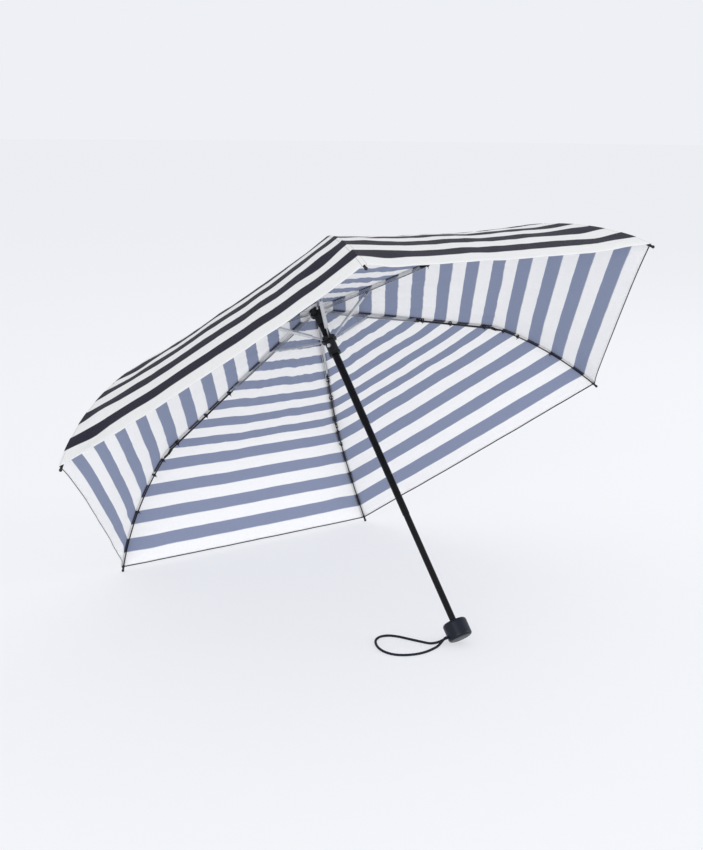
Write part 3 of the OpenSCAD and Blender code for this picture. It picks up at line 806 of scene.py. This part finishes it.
def add_tie(bm, centre, ahead, half_width, half_height, ties):
    """One turn of thread tape round a rib, with its knot and two tails below."""
    side = ahead.cross(UP).normalized()
    above = side.cross(ahead)
    turn = Matrix.Translation(centre) @ Matrix((side, above, ahead)).transposed().to_4x4()
    squeeze = Matrix.Diagonal((half_width, half_height, 1, 1))
    ring = bmesh.ops.create_circle(bm, segments=16, radius=1.0, matrix=turn @ squeeze)["verts"]
    edges = list({edge for vert in ring for edge in vert.link_edges})
    made = bmesh.ops.extrude_edge_only(bm, edges=edges)["geom"]
    far = [part for part in made if isinstance(part, bmesh.types.BMVert)]
    bmesh.ops.translate(bm, vec=ahead * ties.width, verts=far)
    band = [part for part in made if isinstance(part, bmesh.types.BMFace)]
    bmesh.ops.solidify(bm, geom=band, thickness=ties.thickness)
    knot = centre + ahead * ties.width / 2 - above * (half_height + ties.knot / 3)
    lump = Matrix.Translation(knot) @ turn.to_3x3().to_4x4() @ Matrix.Diagonal((1.3, 0.8, 1.0, 1))
    bmesh.ops.create_uvsphere(bm, u_segments=10, v_segments=6, radius=ties.knot, matrix=lump)
    for way in (-1, 1):
        lean = (side * way * 0.8 - above + ahead * 0.3 * way).normalized()
        bmesh.ops.create_cone(bm, cap_ends=True, segments=6, radius1=TAIL_RADII[0], radius2=TAIL_RADII[1],
                              depth=ties.tail, matrix=turned_to(lean, knot + lean * ties.tail / 2))


def build_ties(rib, segment, ties, material):
    """The ties along a rib's middle or outer part, as one piece."""
    bm = bmesh.new()
    for run in TIE_PLACES[segment]:
        centre, ahead = rib_place(rib, segment, run, ties.rise)
        add_tie(bm, centre, ahead, TIE_HALF_WIDTH[segment], ties.half_height, ties)
    piece = finish_mesh(bm, f"ties_{segment}_{rib}", [material])
    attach(piece, f"{segment}_rib_{rib}")


def build_hub_patch(canopy, material):
    """A round patch of doubled cloth under the cap on top."""
    bm = bmesh.new()
    bmesh.ops.create_grid(bm, x_segments=72, y_segments=4, size=1.0)
    middle = rib_line(HUB_SHARE * 0.02, canopy.gap + PATCH_LIFT)
    for vert in bm.verts:
        turn = (vert.co.x + 1) * pi
        radius = HUB_R + (canopy.patch - HUB_R) * (vert.co.y + 1) / 2
        from_middle = turn % (2 * GORE) - GORE
        steepness = 0.7 + 0.3 * cos(from_middle) / cos(GORE)
        drop = max(0.0, radius - middle.x) * sin(TOP_SLOPE) * steepness
        vert.co = place(turn, radius * cos(GORE) / cos(from_middle), 0, middle.y - drop)
    bmesh.ops.remove_doubles(bm, verts=bm.verts, dist=0.00001)
    face_towards(bm, UP)
    piece = finish_mesh(bm, "hub_patch", [material])
    thicken(piece, PATCH_THICKNESS, 1.0)
    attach(piece, "top")


def build_closing_strap(canopy, material, stud_material):
    """The strap that goes round the folded canopy, sewn on near the hem and held by a press stud."""
    side = SIDES[BAND_SIDE]
    gore = gore_of(BAND_RIB, side)
    turn = turn_of(BAND_RIB) + side * GORE

    def strap_place(run, hem, above):
        u = 1 - hem / SQUARE_TO_HEM * SHARE_PER_METRE
        half = rib_line(u, canopy.gap).x * sin(GORE)
        return place(turn, *cloth_point(gore, u, run / half, canopy.gap + above, canopy))

    bm = bmesh.new()
    bmesh.ops.create_grid(bm, x_segments=40, y_segments=6, size=0.5)
    for vert in bm.verts:
        run = canopy.strap_length * (vert.co.x + 0.5) + BAND_START
        rounding = 1 - max(0.0, (vert.co.x - 0.44) / 0.06) ** 2 * 0.45
        vert.co = strap_place(run, BAND_HEM + canopy.strap_width * vert.co.y * rounding, BAND_LIFT)
    face_towards(bm, UP)
    strap = finish_mesh(bm, "closing_strap", [material])
    thicken(strap, BAND_THICKNESS, 1.0)
    bm = bmesh.new()
    centre = strap_place(BAND_START + canopy.strap_length - STUD_FROM_END, BAND_HEM, STUD_LIFT)
    facing = (strap_place(0.05, BAND_HEM, 0.01) - strap_place(0.05, BAND_HEM, 0.0)).normalized()
    for radius, depth in STUD_STEPS:
        bmesh.ops.create_cone(bm, cap_ends=True, segments=32, radius1=radius, radius2=radius * STUD_TAPER,
                              depth=depth, matrix=turned_to(facing, centre))
    stud = finish_mesh(bm, "press_stud", [stud_material], smooth=False)
    for piece in (strap, stud):
        fold_with_rib(piece, BAND_RIB, side, "outer", canopy)


# ---- operators ----
class UMBRELLA_OT_camera(bpy.types.Operator):
    """Adds the camera, in front of the open umbrella and a little above it"""
    bl_idname = "umbrella.camera"
    bl_label = "Camera"

    def execute(self, context):
        stage = context.scene.umbrella_stage
        data = bpy.data.cameras.new("camera")
        data.lens = stage.lens
        camera = add_object("camera", data)
        look = Vector(stage.aim) - Vector(stage.camera)
        camera.matrix_world = turned_to(look, stage.camera, "-Z") @ Matrix.Rotation(stage.roll, 4, "Z")
        context.scene.camera = camera
        return {"FINISHED"}


# The wrist strap's route, in metres: down to the floor, over it in a loop, and up to the handle again.
STRAP_DOWN = (-0.026, -0.211, 0.0045)
STRAP_ROUTE = [
    (-0.034, -0.203), (-0.041, -0.190), (-0.048, -0.174), (-0.055, -0.158), (-0.064, -0.147),
    (-0.076, -0.144), (-0.088, -0.150), (-0.097, -0.162), (-0.103, -0.177), (-0.104, -0.192),
    (-0.099, -0.206), (-0.088, -0.216), (-0.073, -0.222), (-0.057, -0.223), (-0.042, -0.220)]
STRAP_UP = (-0.031, -0.217, 0.0025)
STRAP_REACHES = (-0.0048, 0.0, 0.004)   # of each end: inside, at and outside the handle's side
HANDLE_R = 0.0173
STRAP_HOLE_Z = -0.5305      # height of the strap's slot, from the crown pivots


class UMBRELLA_OT_wrist_strap(bpy.types.Operator):
    """Adds the wrist strap, a braided cord that leaves the handle and comes back to it"""
    bl_idname = "umbrella.wrist_strap"
    bl_label = "Wrist strap"

    def execute(self, context):
        strap = context.scene.umbrella_strap

        def strap_end(reach, end):
            return place(strap.turn, HANDLE_R + reach, end * strap.gap / 2, STRAP_HOLE_Z)

        start = [strap_end(reach, -1) for reach in STRAP_REACHES]
        finish = [strap_end(reach, 1) for reach in reversed(STRAP_REACHES)]
        on_floor = [Vector((x, y, strap.diameter / 2)) for x, y in STRAP_ROUTE]
        line = smooth_route([*start, Vector(STRAP_DOWN), *on_floor, Vector(STRAP_UP), *finish], 6)
        bm = bmesh.new()
        sweep(bm, line, strap.diameter / 2, 12)
        piece = finish_mesh(bm, "wrist_strap_cord", [braided_cord("braided_cord", strap.colour)])
        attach(piece, "handle")
        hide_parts("wrist_strap")
        return {"FINISHED"}


class UMBRELLA_OT_canopy(bpy.types.Operator):
    """Adds the striped canopy, as a half gore on each side of each of a rib's three parts"""
    bl_idname = "umbrella.canopy"
    bl_label = "Canopy"

    def execute(self, context):
        canopy = context.scene.umbrella_canopy
        materials = [
            printed_cloth("cloth_outside", canopy.pale_out, canopy.dark_out, canopy.thread, canopy.stripe),
            printed_cloth("cloth_inside", canopy.pale_in, canopy.dark_in, canopy.thread, canopy.stripe,
                          turned=canopy.turned)]
        panels = [build_panel(rib, side, segment, canopy, materials)
                  for rib in RIBS for side in SIDES for segment in SEGMENTS]
        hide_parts("canopy")
        return {"FINISHED"}


class UMBRELLA_OT_ties(bpy.types.Operator):
    """Adds the thread ties that hold the canopy to the middle and outer ribs"""
    bl_idname = "umbrella.ties"
    bl_label = "Cloth ties"

    def execute(self, context):
        ties = context.scene.umbrella_ties
        tape = webbing("tie_tape", context.scene.umbrella_canopy.thread, 0.0006)
        for rib in RIBS:
            for segment in TIE_PLACES:
                build_ties(rib, segment, ties, tape)
        return {"FINISHED"}


class UMBRELLA_OT_hub_patch(bpy.types.Operator):
    """Adds the round patch that guards the cloth under the cap on top"""
    bl_idname = "umbrella.hub_patch"
    bl_label = "Hub patch"

    def execute(self, context):
        canopy = context.scene.umbrella_canopy
        build_hub_patch(canopy, webbing("patch_cloth", canopy.pale_out, 0.0007))
        return {"FINISHED"}


class UMBRELLA_OT_closing_strap(bpy.types.Operator):
    """Adds the strap and press stud that hold the folded canopy together"""
    bl_idname = "umbrella.closing_strap"
    bl_label = "Closing strap"

    def execute(self, context):
        canopy = context.scene.umbrella_canopy
        band = webbing("strap_band", canopy.dark_out, 0.0008)
        steel = context.scene.umbrella_finish.steel
        stud = grained("stud_metal", steel, 0.3, 0.00002, metallic=1.0, wear=0.4)
        build_closing_strap(canopy, band, stud)
        return {"FINISHED"}


def on_every_rib(*kinds):
    return [f"{kind}_{rib}" for kind in kinds for rib in RIBS]


class UMBRELLA_OT_finishes(bpy.types.Operator):
    """Gives every metal and plastic piece of the frame its finish"""
    bl_idname = "umbrella.finishes"
    bl_label = "Frame finishes"

    def execute(self, context):
        finish = context.scene.umbrella_finish
        enamel = grained("shaft_enamel", finish.enamel, 0.16, 0.00002, wear=0.3, gloss=0.18)
        rib_enamel = grained("rib_enamel", finish.enamel, 0.32, 0.00003, wear=0.5, gloss=0.3)
        plastic = grained("moulded_plastic", finish.plastic, 0.42, 0.00008, grain=2200.0, gloss=0.3)
        silver = grained("drawn_aluminium", finish.silver, 0.26, 0.00003, metallic=1.0, grain=900.0,
                         wear=0.4)
        steel = grained("drawn_wire", finish.steel, 0.25, 0.00002, metallic=1.0, wear=0.4)
        spring = grained("spring_wire", finish.spring, 0.30, 0.00002, metallic=1.0, wear=0.5)
        soft = grained("soft_touch", finish.handle, 0.30, 0.00006, grain=2600.0, wear=0.1, gloss=0.25)
        low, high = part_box("release_button")
        button = plated_button("plated_button", finish.button, (low + high) / 2)
        finishes = [
            (soft, ["handle_grip", "handle_end_cap"]),
            (enamel, ["lower_tube", "middle_tube", "top_tube"]),
            (plastic, ["crown", "top_cap", "runner", "runner_collar", *on_every_rib("tip_cap")]),
            (steel, ["strap_anchor", "crown_wire"]),
            (button, ["release_button"]),
            (silver, on_every_rib("top_rib", "stretcher", "link_rod")),
            (rib_enamel, on_every_rib("middle_rib", "outer_rib")),
            (spring, on_every_rib("spring_wire"))]
        for material, names in finishes:
            for name in names:
                mesh = frame["nodes"][name].data
                mesh.materials.clear()
                mesh.materials.append(material)
        return {"FINISHED"}


# Soft lights: place, aim, power in watts and width, in metres.
STUDIO_LIGHTS = {
    "key": ((-2.8, -2.7, 1.3), (0.1, 0.0, 0.3), 50.0, 2.0),
    "fill": ((2.5, -2.0, 0.9), (0.0, -0.1, 0.25), 22.0, 1.0),
    "top": ((2.4, 0.6, 3.0), (0.1, 0.1, 0.4), 16.0, 2.0)}


class UMBRELLA_OT_stage(bpy.types.Operator):
    """Adds the wide pale floor and soft light"""
    bl_idname = "umbrella.stage"
    bl_label = "Stage"

    def execute(self, context):
        stage = context.scene.umbrella_stage
        bm = bmesh.new()
        bmesh.ops.create_circle(bm, cap_ends=True, cap_tris=True, segments=64, radius=stage.floor_radius)
        rim = [edge for edge in bm.edges if edge.is_boundary]
        lip = bmesh.ops.extrude_edge_only(bm, edges=rim)["geom"]
        lip_verts = [vert for vert in lip if isinstance(vert, bmesh.types.BMVert)]
        bmesh.ops.scale(bm, vec=(1.2, 1.2, 1.0), verts=lip_verts)
        bmesh.ops.translate(bm, vec=(0, 0, stage.lip_rise), verts=lip_verts)
        bmesh.ops.recalc_face_normals(bm, faces=bm.faces)
        face_towards(bm, Vector((0, 0, 1)))
        floor = finish_mesh(bm, "floor", [studio_paper("studio_paper", stage.paper, stage.glow)])
        world = bpy.data.worlds.new("studio")
        world.use_nodes = True
        background = world.node_tree.nodes["Background"]
        background.inputs["Color"].default_value = (*stage.air, 1.0)
        background.inputs["Strength"].default_value = stage.sky
        context.scene.world = world
        for name, (where, aim, power, size) in STUDIO_LIGHTS.items():
            data = bpy.data.lights.new(name, "AREA")
            data.energy = power
            data.size = size
            add_object(name, data).matrix_world = turned_to(Vector(aim) - Vector(where), where, "-Z")
        context.scene.view_settings.view_transform = "Standard"
        return {"FINISHED"}


class UMBRELLA_PT_panel(bpy.types.Panel):
    """Lists the umbrella's pieces and their sizes"""
    bl_idname = "UMBRELLA_PT_panel"
    bl_label = "Folding umbrella"
    bl_space_type = "VIEW_3D"
    bl_region_type = "UI"
    bl_category = "Umbrella"

    def draw(self, context):
        for operator in OPERATORS:
            self.layout.operator(operator.bl_idname)
        for name in SETTINGS:
            box = self.layout.box()
            settings = getattr(context.scene, name)
            for key in settings.__annotations__:
                box.prop(settings, key)


OPERATORS = [UMBRELLA_OT_camera, UMBRELLA_OT_wrist_strap, UMBRELLA_OT_canopy, UMBRELLA_OT_ties,
             UMBRELLA_OT_hub_patch, UMBRELLA_OT_closing_strap, UMBRELLA_OT_finishes, UMBRELLA_OT_stage]
SETTINGS = {"umbrella_canopy": CanopySettings, "umbrella_ties": TieSettings,
            "umbrella_strap": StrapSettings, "umbrella_finish": FinishSettings,
            "umbrella_stage": StageSettings}
CLASSES = [*SETTINGS.values(), *OPERATORS, UMBRELLA_PT_panel]


def register():
    for one in CLASSES:
        bpy.utils.register_class(one)
    for name, settings in SETTINGS.items():
        setattr(bpy.types.Scene, name, PointerProperty(type=settings))


def unregister():
    for name in SETTINGS:
        delattr(bpy.types.Scene, name)
    for one in reversed(CLASSES):
        bpy.utils.unregister_class(one)


def main():
    register()
    for operator in OPERATORS:
        family, name = operator.bl_idname.split(".")
        getattr(getattr(bpy.ops, family), name)()


if __name__ == "__main__":
    main()
